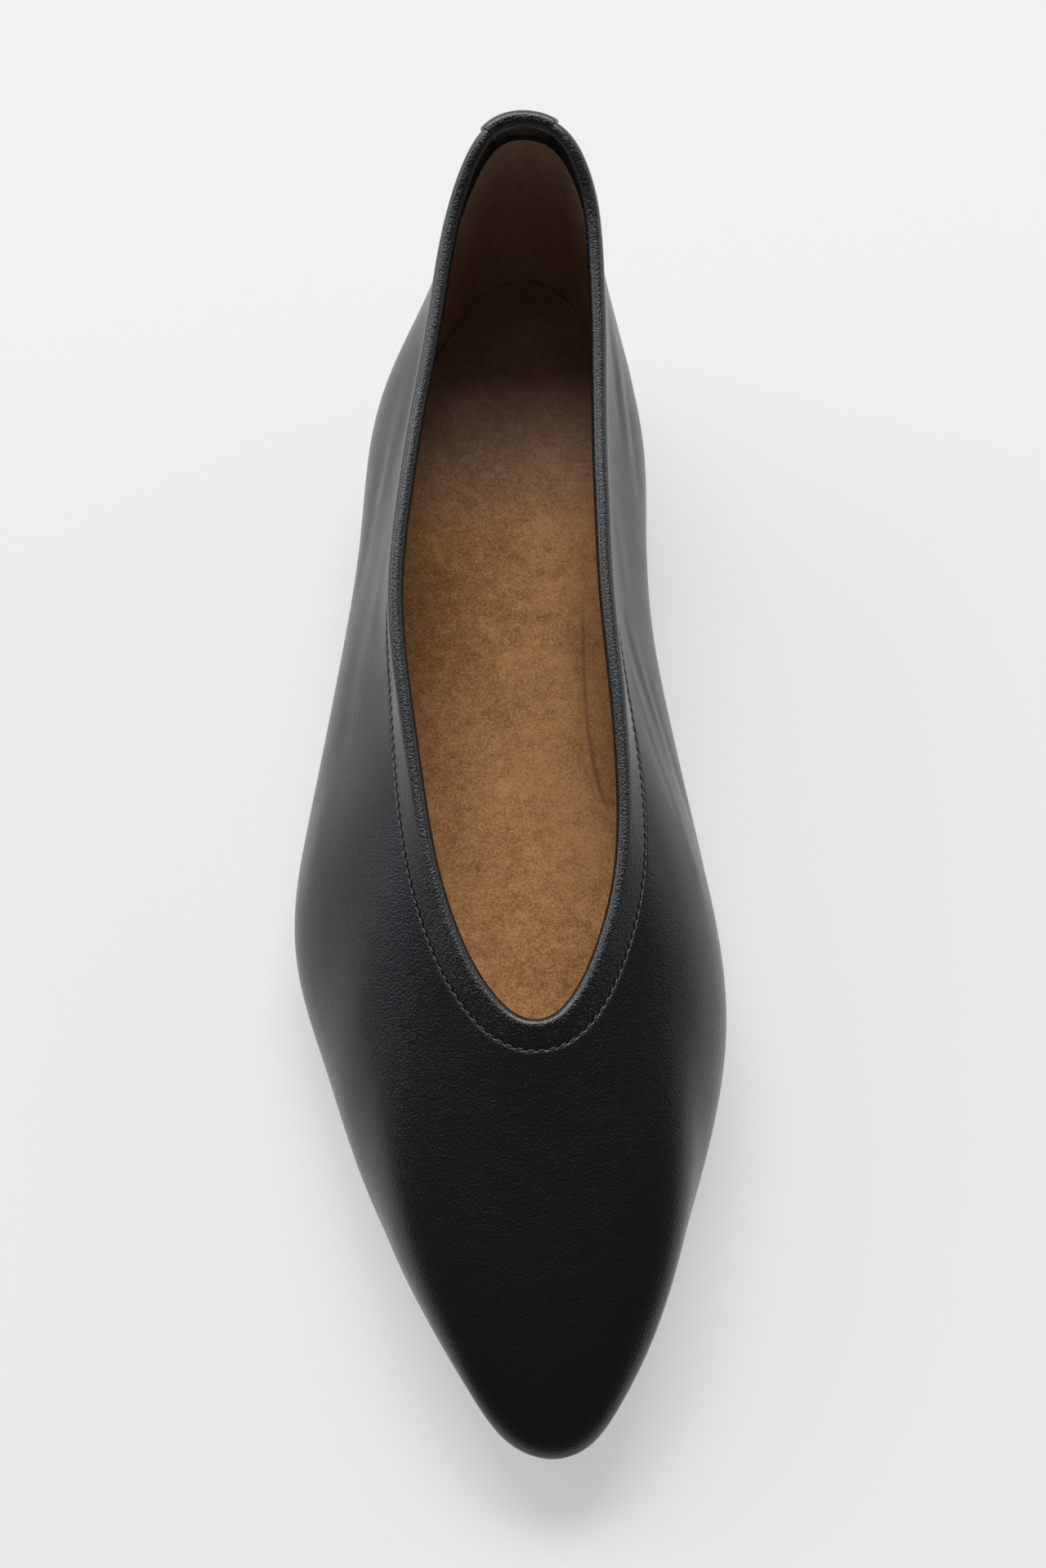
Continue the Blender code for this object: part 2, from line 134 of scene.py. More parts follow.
# The stitches: their place over the seam, and their slant in degrees
STITCH_RAISE = 0.05 * MM
STITCH_OUT = 0.01 * MM
STITCH_SLANT = 6
STITCH_SLANT_CHANGE = 5
STITCH_SLANT_STEP = 1.7

# The strap: how it bulges, and from which angle round the bead it sinks into it
TAB_BULGE = 0.1 * MM
TAB_SINK_FROM = 60
TAB_SINK_SPAN = 90

# The groove over the heel's top lift, and the rounded top edge of the block
GROOVE_DEPTH = 0.25 * MM
GROOVE_HALF = 0.15 * MM
HEEL_TOP_EASE = 0.2 * MM
GROOVE_SHARE = 0.55

# Rounded edges made by a bevel
BEVEL_SEGMENTS = 3
BEVEL_ANGLE = 50

# Ribs of the wall, from the back of the heel to the toe: place along the sole, the width that the
# seat columns are shares of, feather line (in and out), swell of the wall (in and out) and the
# height of the swell, place of the topline, its half-widths (in and out) and height, and the slope
# of the wall under it (reach and drop).
Rib = namedtuple(
    "Rib",
    "run of seat_in seat_out belly_in belly_out rise top_run top_in top_out top_rise reach drop",
)
SEAT, WAIST, TREAD, TOE = SEAT_WIDTH, WAIST_WIDTH, TREAD_WIDTH, TOE_WIDTH
RIBS = [
    Rib(0.0000, SEAT, 0.000, 0.000, 0.48, 0.48, 0.26, 0.0000, 0.000, 0.000, 1.000, -0.05, 0.36),
    Rib(0.0174, SEAT, 0.190, 0.196, 0.38, 0.38, 0.26, 0.0097, 0.149, 0.139, 0.985, -0.05, 0.36),
    Rib(0.0435, SEAT, 0.282, 0.300, 0.20, 0.24, 0.26, 0.0392, 0.259, 0.242, 0.915, -0.05, 0.36),
    Rib(0.0870, SEAT, 0.360, 0.416, 0.38, 0.46, 0.26, 0.0875, 0.336, 0.332, 0.760, -0.01, 0.36),
    Rib(0.1442, SEAT, 0.410, 0.530, 0.76, 1.00, 0.27, 0.1520, 0.363, 0.393, 0.640, 0.01, 0.38),
    Rib(0.2116, SEAT, 0.423, 0.585, 1.20, 1.14, 0.28, 0.2325, 0.373, 0.442, 0.540, 0.00, 0.42),
    Rib(0.2887, WAIST, 0.370, 0.600, 1.62, 1.15, 0.29, 0.3265, 0.373, 0.508, 0.455, 0.00, 0.42),
    Rib(0.3716, WAIST, 0.380, 0.645, 1.72, 1.22, 0.30, 0.4286, 0.383, 0.566, 0.385, 0.01, 0.40),
    Rib(0.4546, TREAD, 0.322, 0.480, 1.52, 1.20, 0.32, 0.5330, 0.405, 0.599, 0.315, 0.04, 0.36),
    Rib(0.5373, TREAD, 0.403, 0.532, 1.20, 1.24, 0.34, 0.6353, 0.451, 0.567, 0.250, 0.10, 0.32),
    Rib(0.6206, TREAD, 0.433, 0.524, 1.30, 1.52, 0.34, 0.7266, 0.483, 0.519, 0.190, 0.21, 0.27),
    Rib(0.7017, TREAD, 0.435, 0.445, 1.42, 1.44, 0.33, 0.8045, 0.483, 0.466, 0.138, 0.31, 0.24),
    Rib(0.7785, TREAD, 0.385, 0.345, 1.40, 1.48, 0.32, 0.8663, 0.444, 0.398, 0.094, 0.42, 0.24),
    Rib(0.8500, TREAD, 0.325, 0.255, 1.08, 1.20, 0.31, 0.9173, 0.380, 0.315, 0.059, 0.56, 0.29),
    Rib(0.9107, TREAD, 0.263, 0.160, 0.86, 0.98, 0.31, 0.9549, 0.308, 0.224, 0.031, 0.74, 0.36),
    Rib(0.9623, TOE, 0.540, 0.180, 0.84, 0.84, 0.30, 0.9817, 0.226, 0.128, 0.012, 0.91, 0.43),
    Rib(0.9905, TOE, 0.430, 0.048, 0.80, 0.80, 0.29, 0.9962, 0.138, 0.034, 0.003, 1.01, 0.48),
    Rib(0.9990, TOE, 0.205, -0.205, 1.15, 1.15, 0.24, 1.0000, 0.050, -0.050, 0.000, 1.03, 0.50),
]
LAST_RIB = len(RIBS) - 1
RIBS_ROUND = 2 * LAST_RIB

# Points along each rib, and the lowest share of it, where offsets turn level at the feather line
RIB_SAMPLES = 240
SQUARE_OFF_SHARE = 0.12

# Soft creases of the leather. Each is a line on one side of the shoe, +1 medial and -1 lateral,
# between two points: distance y behind (+) or ahead (-) of the origin, and depth below the topline.
# A positive relief is a ridge and a negative one a trough.
Crease = namedtuple("Crease", "side start_y start_depth end_y end_depth width relief")
CREASES = [
    Crease(+1, 4 * MM, 8 * MM, -30 * MM, 16 * MM, 2.2 * MM, -0.22 * MM),
    Crease(+1, 0 * MM, 13 * MM, -36 * MM, 20 * MM, 2.6 * MM, 0.20 * MM),
    Crease(+1, -6 * MM, 17 * MM, -40 * MM, 26 * MM, 2.4 * MM, -0.20 * MM),
    Crease(+1, 2 * MM, 22 * MM, -26 * MM, 31 * MM, 2.8 * MM, 0.16 * MM),
    Crease(+1, -62 * MM, 6 * MM, -92 * MM, 17 * MM, 2.0 * MM, -0.26 * MM),
    Crease(+1, -66 * MM, 10 * MM, -100 * MM, 22 * MM, 2.2 * MM, 0.20 * MM),
    Crease(+1, -70 * MM, 14 * MM, -104 * MM, 27 * MM, 2.2 * MM, -0.22 * MM),
    Crease(+1, -74 * MM, 6 * MM, -106 * MM, 15 * MM, 1.8 * MM, 0.16 * MM),
    Crease(+1, -82 * MM, 7 * MM, -114 * MM, 17 * MM, 1.8 * MM, -0.18 * MM),
    Crease(+1, -88 * MM, 22 * MM, -120 * MM, 32 * MM, 2.6 * MM, -0.20 * MM),
    Crease(+1, -98 * MM, 12 * MM, -128 * MM, 24 * MM, 2.4 * MM, 0.16 * MM),
    Crease(+1, -40 * MM, 9 * MM, -66 * MM, 13 * MM, 2.2 * MM, 0.14 * MM),
    Crease(-1, -2 * MM, 9 * MM, -34 * MM, 13 * MM, 2.6 * MM, -0.18 * MM),
    Crease(-1, -10 * MM, 16 * MM, -46 * MM, 21 * MM, 3.0 * MM, 0.20 * MM),
    Crease(-1, -20 * MM, 22 * MM, -62 * MM, 25 * MM, 3.4 * MM, -0.26 * MM),
    Crease(-1, -42 * MM, 10 * MM, -78 * MM, 12 * MM, 2.8 * MM, 0.16 * MM),
    Crease(-1, -60 * MM, 17 * MM, -100 * MM, 22 * MM, 3.6 * MM, -0.20 * MM),
    Crease(-1, -92 * MM, 24 * MM, -124 * MM, 33 * MM, 4.0 * MM, 0.18 * MM),
    Crease(-1, -176 * MM, 46 * MM, -190 * MM, 62 * MM, 2.4 * MM, -0.10 * MM),
    Crease(-1, -184 * MM, 44 * MM, -197 * MM, 58 * MM, 2.2 * MM, 0.08 * MM),
    Crease(-1, -168 * MM, 50 * MM, -182 * MM, 64 * MM, 2.4 * MM, 0.08 * MM),
]
CREASE_FADE = 0.35

# Slow unevenness of the leather: the size of its waves in metres, and their relief
UNEVEN_SCALE = 0.030
UNEVEN_RELIEF = 0.14 * MM

# The line where the footbed turns up into the medial arch: its ends and the bow between them
ARCH_LINE_BACK = -42 * MM
ARCH_LINE_FRONT = -98 * MM
ARCH_LINE_X = 12.0 * MM
ARCH_LINE_BOW = 6.3 * MM
ARCH_LINE_BOW_POWER = 4
ARCH_LINE_FADE_BACK = 0.30
ARCH_LINE_FADE_FRONT = 0.15
ARCH_LINE_DEPTH = 0.35 * MM
ARCH_LINE_WIDTH = 0.45 * MM
ARCH_RAISE = 0.5 * MM
ARCH_RAISE_WIDTH = 3 * MM

# Where the footbed is darkened, as shares of the way to DARK_SUEDE: the line at the arch, and a
# soft band along the edge. The band is chosen to match the photograph.
# Both are painted shade: the shade that falls in the pressed line and along the walls.
ARCH_LINE_SHADE = 0.6
EDGE_SHADE = 0.34
EDGE_SHADE_WIDTH = 11.0 * MM
DARK_SUEDE = (0.100, 0.052, 0.026)

# Suede colours, from dark to light. The footbed turns greyer towards the heel between two values
# of y in metres, and the lining is greyer too. Both are chosen to match the photograph, where
# shadow may be the cause. Both are painted shade: the suede as it looks in the shade of the heel
# cup and inside the walls.
FOOTBED_SUEDE = [(0.350, 0.160, 0.057), (0.800, 0.430, 0.185)]
SHADED_HEEL_SUEDE = [(0.345, 0.222, 0.148), (0.555, 0.372, 0.260)]
SHADED_HEEL_FROM_TO = (-0.036, -0.004)
SHADED_LINING_SUEDE = [(0.310, 0.200, 0.135), (0.500, 0.335, 0.235)]

# Other colours. The floor's glow is its emission, and the room's are those of the world.
# The thread is black; its two grey colours are painted glints
PAINTED_GLINT_THREAD_COLOURS = [(0.060, 0.063, 0.067), (0.150, 0.156, 0.165)]
FLOOR_COLOUR = (0.52, 0.52, 0.505)
FLOOR_GLOW = (1.0, 1.0, 0.970)
FLOOR_GLOW_STRENGTH = 0.47
ROOM_HIGH = (0.070, 0.073, 0.077)
ROOM_LOW = (0.60, 0.62, 0.64)

# The mix node has float, vector and colour sockets of the same names; these are the colour ones
SOCKET_OF_COLOUR = {"A": 6, "B": 7}
RESULT_COLOUR = 2


def around(inner, outer):
    """One value for each rib round the shoe: back, medial side, toe, lateral side."""
    return [*inner, *outer[LAST_RIB - 1 : 0 : -1]]


def closed_curve(values, places):
    """Values and slopes at places of the smooth closed curve that passes through values."""
    count = len(values)
    waves = np.fft.fftfreq(count) * 2 * math.pi
    controls = np.real(np.fft.ifft(np.fft.fft(values) * 3 / (2 + np.cos(waves))))
    index = np.floor(places).astype(int)
    t = places - index
    near = [controls[(index + k) % count] for k in (-1, 0, 1, 2)]
    weights = [(1 - t) ** 3, 3 * t**3 - 6 * t**2 + 4, -3 * t**3 + 3 * t**2 + 3 * t + 1, t**3]
    slopes = [-3 * (1 - t) ** 2, 9 * t**2 - 12 * t, -9 * t**2 + 6 * t + 3, 3 * t**2]
    value = sum(w * c for w, c in zip(weights, near)) / 6
    slope = sum(s * c for s, c in zip(slopes, near)) / 6
    return value, slope


def plan_outward(slope_x, slope_y):
    """Level unit vectors that point out of a loop which runs clockwise seen from above."""
    length = np.hypot(slope_x, slope_y)
    return np.stack([-slope_y / length, slope_x / length, np.zeros_like(length)], axis=-1)


def unit(vectors):
    return vectors / np.linalg.norm(vectors, axis=-1, keepdims=True)


def blend(share):
    """0 to 1 with level ends."""
    share = np.clip(share, 0, 1)
    return share * share * (3 - 2 * share)


def bump(distance, width):
    """A soft hump of height 1 and a given width."""
    return np.exp(-((distance / width) ** 2))


def sole_bottom(y):
    """Height of the underside of the outsole: heel seat, arch, flat tread and toe spring."""
    run = (ORIGIN_FROM_BACK - y) / SOLE_LENGTH
    arch = HEEL_HEIGHT * (1 - blend((run - ARCH_START) / (TREAD_START - ARCH_START)))
    spring = TOE_SPRING * (np.clip(run - TREAD_END, 0, None) / (1 - TREAD_END)) ** 2
    return arch + spring


def seat_height(y):
    """Height of the feather line, just clear of the outsole's top face."""
    return sole_bottom(y) + SOLE_THICKNESS + CLEARANCE


class Feather:
    """The feather line: the outline of the last where the upper meets the sole."""

    def __init__(self, places):
        inner = [r.seat_in * r.of for r in RIBS]
        outer = [-r.seat_out * r.of for r in RIBS]
        runs = [ORIGIN_FROM_BACK - r.run * SOLE_LENGTH for r in RIBS]
        self.x, slope_x = closed_curve(around(inner, outer), places)
        self.y, slope_y = closed_curve(around(runs, runs), places)
        self.outward = plan_outward(slope_x, slope_y)

    def ring(self, offset, height):
        """The outline moved outwards by offset, with each point's height given by height(y)."""
        x = self.x + offset * self.outward[:, 0]
        y = self.y + offset * self.outward[:, 1]
        return np.stack([x, y, height(y)], axis=-1)


class Wall:
    """The outside of the upper, as a rib at each of the given places round the shoe."""

    def __init__(self, places):
        feather = Feather(places)
        foot = feather.ring(0.0, seat_height)
        top_start = ORIGIN_FROM_BACK + COLLAR_LEAN
        inner = [r.top_in * OPENING_WIDTH for r in RIBS]
        outer = [-r.top_out * OPENING_WIDTH for r in RIBS]
        top_x, slope_x = closed_curve(around(inner, outer), places)
        top_runs = [top_start - r.top_run * OPENING_LENGTH for r in RIBS]
        top_y, slope_y = closed_curve(around(top_runs, top_runs), places)
        heights = [THROAT_HEIGHT + r.top_rise * (BACK_HEIGHT - THROAT_HEIGHT) for r in RIBS]
        top_z, _ = closed_curve(around(heights, heights), places)
        top = np.stack([top_x, top_y, top_z], axis=-1)
        top_outward = plan_outward(slope_x, slope_y)

        def column(inner, outer, size):
            return closed_curve(around(inner, outer), places)[0][:, None] * size

        up = np.array([0.0, 0.0, 1.0])
        wall_height = (top_z - foot[:, 2])[:, None]
        belly = column([r.belly_in for r in RIBS], [r.belly_out for r in RIBS], BELLY)
        rise = column([r.rise for r in RIBS], [r.rise for r in RIBS], wall_height)
        reach = column([r.reach for r in RIBS], [r.reach for r in RIBS], VAMP_REACH)
        drop = column([r.drop for r in RIBS], [r.drop for r in RIBS], wall_height)
        low_handle = foot + belly * feather.outward + rise * up
        high_handle = top + reach * top_outward - drop * up

        t = np.linspace(0, 1, RIB_SAMPLES)[:, None, None]
        self.points = (
            (1 - t) ** 3 * foot
            + 3 * t * (1 - t) ** 2 * low_handle
            + 3 * t**2 * (1 - t) * high_handle
            + t**3 * top
        )
        along = np.gradient(self.points, axis=0)
        if places[-1] - places[0] > RIBS_ROUND / 2:
            round_shoe = np.roll(self.points, -1, axis=1) - np.roll(self.points, 1, axis=1)
        else:
            round_shoe = np.gradient(self.points, axis=1)
        true_normal = unit(np.cross(along, round_shoe))
        square_off = blend(t / SQUARE_OFF_SHARE)
        self.normals = unit((1 - square_off) * feather.outward + square_off * true_normal)
        self.beyond_top = unit(top - self.points[-2])
        steps = np.linalg.norm(np.diff(self.points, axis=0), axis=-1)
        self.lengths = np.concatenate([np.zeros((1, steps.shape[1])), np.cumsum(steps, axis=0)])
        self.side = np.sign(foot[:, 0] - np.interp(foot[:, 1], *long_axis()))
        self.height = self.lengths[-1]

    def at(self, depth, offset=0.0):
        """Points, by row and column, at a depth below the topline and an offset outwards.

        A depth below zero lies beyond the topline, straight on from the wall.
        """
        total = self.height
        depth, offset, _ = np.broadcast_arrays(depth, offset, total)
        place = np.empty((*depth.shape, 3))
        normal = np.empty((*depth.shape, 3))
        for c in range(len(total)):
            wanted = np.clip(total[c] - depth[:, c], 0, total[c])
            for axis in range(3):
                column = self.lengths[:, c]
                place[:, c, axis] = np.interp(wanted, column, self.points[:, c, axis])
                normal[:, c, axis] = np.interp(wanted, column, self.normals[:, c, axis])
        beyond = np.clip(-depth, 0, None)[..., None]
        return place + beyond * self.beyond_top + offset[..., None] * unit(normal)

    def depths(self, shares, top=BINDING_BAND):
        """Depths at shares of the way from the feather line (0) to a depth near the top (1)."""
        return top + (self.height - top) * (1 - np.asarray(shares)[:, None])


def long_axis():
    """The shoe's middle line from toe to heel: y values and the x of each."""
    toe_x = RIBS[-1].seat_in * TOE_WIDTH
    return [ORIGIN_FROM_BACK - SOLE_LENGTH, ORIGIN_FROM_BACK], [toe_x, 0.0]


def places_round(per_rib):
    return np.arange(RIBS_ROUND * per_rib) / per_rib


def places_across_back(width, count, shift=0.0):
    """Places round the shoe's back that span a width along the topline.

    They are centred a distance shift to the lateral side of the middle of the back.
    """
    fine = np.linspace(0, LAST_RIB / 2, 200)
    top = Wall(fine).at(np.array([[0.0]]))[0]
    arc = np.concatenate([[0.0], np.cumsum(np.linalg.norm(np.diff(top, axis=0), axis=-1))])
    wanted = np.linspace(-width / 2, width / 2, count) - shift
    return np.sign(wanted) * np.interp(np.abs(wanted), arc, fine)


def lay_grid(points, wrap_columns=False, wrap_rows=False):
    """A grid of quads laid on points[row, column], joined up where it wraps."""
    if wrap_columns:
        points = np.concatenate([points, points[:, :1]], axis=1)
    if wrap_rows:
        points = np.concatenate([points, points[:1]], axis=0)
    rows, columns = points.shape[:2]
    bm = bmesh.new()
    bmesh.ops.create_grid(bm, x_segments=columns - 1, y_segments=rows - 1, size=1.0)
    for vert in bm.verts:
        column = round((vert.co.x + 1) / 2 * (columns - 1))
        row = round((vert.co.y + 1) / 2 * (rows - 1))
        vert.co = points[row, column]
    bmesh.ops.remove_doubles(bm, verts=bm.verts, dist=0.002 * MM)
    return bm


def face_outwards(bm, inside):
    """Turns the faces of an open sheet away from a point inside it."""
    votes = sum((f.calc_center_median() - Vector(inside)).dot(f.normal) for f in bm.faces)
    if votes < 0:
        bmesh.ops.reverse_faces(bm, faces=bm.faces)


def add_piece(name, bm, material, slot, *nodes):
    """Makes the mesh an object that rides on the shoe and stands for the given CAD nodes."""
    mesh = bpy.data.meshes.new(name)
    bm.to_mesh(mesh)
    bm.free()
    mesh.materials.append(material)
    mesh.shade_smooth()
    piece = bpy.data.objects.new(name, mesh)
    bpy.context.scene.collection.objects.link(piece)
    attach(piece, "root")
    if nodes:
        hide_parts(*nodes)
    return piece


def thicken(piece, thickness, offset=-1.0):
    """Gives a sheet its thickness: inwards, or to both sides with an offset of 0."""
    solidify = piece.modifiers.new("thickness", "SOLIDIFY")
    solidify.thickness = thickness
    solidify.offset = offset
    solidify.use_even_offset = True


def round_edges(piece, width):
    bevel = piece.modifiers.new("rounded edges", "BEVEL")
    bevel.width = width
    bevel.segments = BEVEL_SEGMENTS
    bevel.limit_method = "ANGLE"
    bevel.angle_limit = math.radians(BEVEL_ANGLE)


def creases(wall, depth):
    """Relief of the listed creases, by row and column."""
    y = wall.at(depth)[..., 1]
    relief = np.zeros(y.shape)
    for c in CREASES:
        start = np.array([c.start_y, c.start_depth])
        line = np.array([c.end_y, c.end_depth]) - start
        length = np.linalg.norm(line)
        from_start = np.stack([y, depth], axis=-1) - start
        along = from_start @ (line / length**2)
        across = (from_start[..., 0] * line[1] - from_start[..., 1] * line[0]) / length
        fade = blend(along / CREASE_FADE) * blend((1 - along) / CREASE_FADE)
        relief += np.where(wall.side == c.side, c.relief * fade * bump(across, c.width), 0.0)
    return relief


def unevenness(points):
    """Slight slow undulation of soft leather over the last."""
    relief = np.empty(points.shape[:2])
    for row in range(points.shape[0]):
        for column in range(points.shape[1]):
            place = Vector(points[row, column]) / UNEVEN_SCALE
            relief[row, column] = noise.noise(place) * UNEVEN_RELIEF
    return relief


def make_upper(material):
    """The leather of the upper, from the feather line to the seam under the binding."""
    wall = Wall(places_round(per_rib=12))
    # Rows of the grid, closer together near the seam
    shares = np.concatenate([np.linspace(0, 0.90, 84), np.linspace(0.905, 1.0, 26)])
    depth = wall.depths(shares)
    below_seam = depth - BINDING_BAND
    turned_in = -SEAM_TURN_IN * bump(below_seam, SEAM_TURN_WIDTH)
    over_feather = wall.height - depth
    settled = blend(below_seam / RELIEF_MARGIN) * blend(over_feather / RELIEF_MARGIN)
    relief = turned_in + settled * (creases(wall, depth) + unevenness(wall.at(depth)))
    outside = wall.at(depth, relief)
    inside_depth = wall.depths(np.linspace(1, 0, 9))
    inside = wall.at(inside_depth, -LEATHER)
    edge_depth = np.array([[BINDING_BAND], [CLEARANCE], [CLEARANCE]])
    edge_offset = -np.array([[EDGE_OUTER], [EDGE_OUTER], [EDGE_INNER]])
    top_edge = wall.at(edge_depth, edge_offset)
    bm = lay_grid(np.concatenate([outside, top_edge, inside]), wrap_columns=True, wrap_rows=True)
    bmesh.ops.recalc_face_normals(bm, faces=bm.faces)
    add_piece("upper_leather", bm, material, "black_leather", "upper")


def make_lining(material):
    """The suede lining inside the wall."""
    wall = Wall(places_round(per_rib=6))
    depth = wall.depths(np.linspace(0.02, 1, 40), top=LINING_TOP)
    near = wall.at(depth, -(LEATHER + CLEARANCE / 2))
    far = wall.at(depth[::-1], -(LEATHER + CLEARANCE / 2 + LINING))
    bm = lay_grid(np.concatenate([near, far]), wrap_columns=True, wrap_rows=True)
    bmesh.ops.recalc_face_normals(bm, faces=bm.faces)
    add_piece("upper_lining", bm, material, "tan_suede", "upper")


def bead_centre():
    """Offset and height of the middle of the binding's rolled bead, over the upper's edge."""
    recess = BINDING_SKIN + CLEARANCE
    return -(recess + UPPER_WALL) / 2 + CLEARANCE, CLEARANCE + BEAD_RADIUS * BEAD_RISE


def bead_point(angle, radius=BEAD_RADIUS):
    """Offset and height of a point round the bead, by its angle in degrees up from outwards."""
    offset, height = bead_centre()
    turn = math.radians(angle)
    return offset + radius * math.cos(turn), height + radius * math.sin(turn)


def make_binding(material):
    """The rolled edge round the opening: a plump bead with a flat band stitched down outside."""
    wall = Wall(places_round(per_rib=26))
    end = -(BINDING_BAND - CLEARANCE / 2)
    # Offsets and heights: up the band from its tucked edge, round the bead, and down inside
    section = [(-0.40 * MM, end), (-0.16 * MM, end + 0.06 * MM), (-0.04 * MM, end + 0.3 * MM)]
    section += [(0.06 * MM, end * 0.65), (0.18 * MM, end * 0.33), (BAND_SWELL, 0.0)]
    section += [bead_point(angle) for angle in range(-15, 226, 15)]
    section += [(-UPPER_WALL, CLEARANCE), (-BINDING_SKIN, CLEARANCE), (-BINDING_SKIN, end)]
    offset = np.array([point[0] for point in section])[:, None]
    depth = -np.array([point[1] for point in section])[:, None]
    path = wall.at(np.array([[BINDING_BAND]]))[0]
    arc = np.concatenate([[0.0], np.cumsum(np.linalg.norm(np.diff(path, axis=0), axis=-1))])
    pull = 0.5 + 0.5 * np.cos(arc / STITCH_PITCH * 2 * math.pi)
    near_seam = bump(depth - (BINDING_BAND - PULL_ABOVE_SEAM), PULL_WIDTH)
    soft = np.array([noise.noise(Vector(p) / BEAD_SOFT_SCALE) for p in path])
    on_bead = blend(-depth / (1.5 * MM))
    offset = offset - STITCH_PULL * pull * near_seam + BEAD_SOFT_RELIEF * soft * on_bead
    bm = lay_grid(wall.at(depth, offset), wrap_columns=True, wrap_rows=True)
    bmesh.ops.recalc_face_normals(bm, faces=bm.faces)
    add_piece("binding_leather", bm, material, "black_leather", "topline_binding")


def make_stitches(material):
    """The row of thread that holds the band down, one slim ellipsoid for each stitch."""
    wall = Wall(places_round(per_rib=12))
    depth = np.array([[BINDING_BAND - STITCH_RAISE]])
    seam = wall.at(depth, STITCH_OUT)[0]
    lifted = wall.at(depth, 1 * MM)[0]
    closed = np.concatenate([seam, seam[:1]])
    outward = unit(np.concatenate([lifted, lifted[:1]]) - closed)
    arc = np.concatenate([[0.0], np.cumsum(np.linalg.norm(np.diff(closed, axis=0), axis=-1))])
    count = round(arc[-1] / STITCH_PITCH)
    bm = bmesh.new()
    for k in range(count):
        middle = arc[-1] * k / count
        span = [middle - STITCH_LENGTH / 2, middle, middle + STITCH_LENGTH / 2]
        back, place, ahead = (
            Vector([np.interp(s % arc[-1], arc, closed[:, axis]) for axis in range(3)]) for s in span
        )
        up = Vector([np.interp(middle, arc, outward[:, axis]) for axis in range(3)]).normalized()
        along = (ahead - back).normalized()
        across = up.cross(along).normalized()
        turn = Matrix((along, across, along.cross(across))).transposed().to_4x4()
        size = Matrix.Diagonal((STITCH_LENGTH / 2, STITCH_RADIUS, STITCH_RADIUS, 1.0))
        degrees = STITCH_SLANT + STITCH_SLANT_CHANGE * math.sin(STITCH_SLANT_STEP * k)
        slant = Matrix.Rotation(math.radians(degrees), 4, "Z")
        bmesh.ops.create_uvsphere(
            bm, u_segments=6, v_segments=6, radius=1.0,
            matrix=Matrix.Translation(place) @ turn @ slant @ size,
        )
    add_piece("binding_stitches", bm, material, "black_leather")


def strip_points(places, path_of):
    """Points of a strip over the collar: path_of(column) gives (offset, height) pairs."""
    wall = Wall(places)
    paths = np.array([path_of(column) for column in range(len(places))])
    depth = -paths[..., 1].T
    offset = paths[..., 0].T
    return wall.at(depth, offset)


def smooth_path(corners, count):
    """A path of (offset, height) pairs through corners, at even steps and rounded."""
    corners = np.array(corners)
    steps = np.concatenate([[0.0], np.cumsum(np.linalg.norm(np.diff(corners, axis=0), axis=1))])
    wanted = np.linspace(0, steps[-1], count)
    path = np.stack([np.interp(wanted, steps, corners[:, k]) for k in (0, 1)], axis=1)
    for _ in range(6):
        path[1:-1] = (path[:-2] + 2 * path[1:-1] + path[2:]) / 4
    return path


def make_tab(material):
    """The strap folded over the binding at the back of the collar."""
    count = 33
    places = places_across_back(TAB_WIDTH, count, TAB_SHIFT)
    sides = np.linspace(-1, 1, count)

    def path_of(column):
        corner = TAB_CORNER * (1 - math.sqrt(max(0.0, 1 - sides[column] ** 8)))
        lift = TAB_THICKNESS / 2 + TAB_BULGE * (1 - sides[column] ** 4)
        bead = []
        for angle in range(180, -10, -15):
            rise = lift - TAB_SINK * blend((angle - TAB_SINK_FROM) / TAB_SINK_SPAN)
            bead.append(bead_point(angle, BEAD_RADIUS + rise))
        corners = [(bead[0][0], -TAB_TURN_IN), *bead]
        corners += [(BAND_SWELL + lift, 0.0), (0.13 * MM + lift, -0.65 * BINDING_BAND)]
        corners += [(lift, -1.2 * BINDING_BAND), (lift, corner - TAB_DROP)]
        return smooth_path(corners, 70)

    bm = lay_grid(strip_points(places, path_of))
    face_outwards(bm, (0.0, 0.010, 0.050))
    tab = add_piece("heel_strap", bm, material, "black_leather", "heel_tab")
    thicken(tab, TAB_THICKNESS, 0.0)
    round_edges(tab, 0.22 * MM)


def make_facing(material):
    """The crescent of leather inside the back of the collar."""
    count = 61
    places = places_across_back(FACING_WIDTH, count)
    sides = np.linspace(-1, 1, count)
    middle = -(UPPER_WALL + CLEARANCE / 2 + FACING_SKIN / 2)

    def path_of(column):
        depth = FACING_END_DEPTH + (FACING_DEPTH - FACING_END_DEPTH) * (1 - sides[column] ** 2)
        return smooth_path([(middle, FACING_TOP), (middle, -depth)], 8)

    bm = lay_grid(strip_points(places, path_of))
    face_outwards(bm, (0.0, 0.060, 0.050))
    facing = add_piece("collar_facing", bm, material, "black_leather", "heel_facing")
    thicken(facing, FACING_SKIN, 0.0)
    round_edges(facing, 0.2 * MM)


def footprint(edge, per_rib, across, height):
    """A grid that fills the last's outline: rows along the shoe, columns from side to side."""
    ring = Feather(places_round(per_rib)).ring(edge, np.zeros_like)
    half = len(ring) // 2
    medial = ring[: half + 1]
    lateral = np.concatenate([ring[:1], ring[:half - 1:-1]])
    share = (1 - np.cos(np.linspace(0, math.pi, across))) / 2
    points = lateral[:, None] + (medial - lateral)[:, None] * share[None, :, None]
    width = np.linalg.norm(medial - lateral, axis=1)[:, None]
    from_edge = np.minimum(share, 1 - share)[None, :] * width
    points[..., 2] = height(points[..., 0], points[..., 1], from_edge)
    return points


